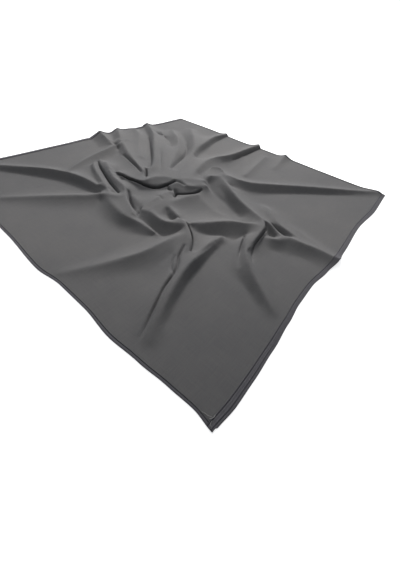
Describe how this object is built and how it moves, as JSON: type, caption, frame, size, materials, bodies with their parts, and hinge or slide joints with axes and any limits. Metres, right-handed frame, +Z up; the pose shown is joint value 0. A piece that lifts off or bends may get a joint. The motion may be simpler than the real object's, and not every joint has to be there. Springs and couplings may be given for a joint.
{
  "type": "hijab headscarf",
  "caption": "Square hijab headscarf of plain dark grey crepe with turned hems, laid flat and gathered near its middle into radiating folds.",
  "frame": {"origin": "on the surface that the scarf lies on, under the middle of the laid square", "axes": "+Z up, +X right and +Y away from the viewer who faces the corner at -Y; the square's diagonals lie along X and Y"},
  "size_m": [1.2304, 1.2303, 0.0289],
  "materials": {
    "cloth": "matte fine crepe, dark grey",
    "hem": "matte fine crepe turned under and stitched, dark grey"
  },
  "bodies": {
    "root": {"cloth_panel": "cloth", "hem_front_right": "hem", "hem_back_right": "hem", "hem_back_left": "hem", "hem_front_left": "hem"}
  },
  "joints": []
}
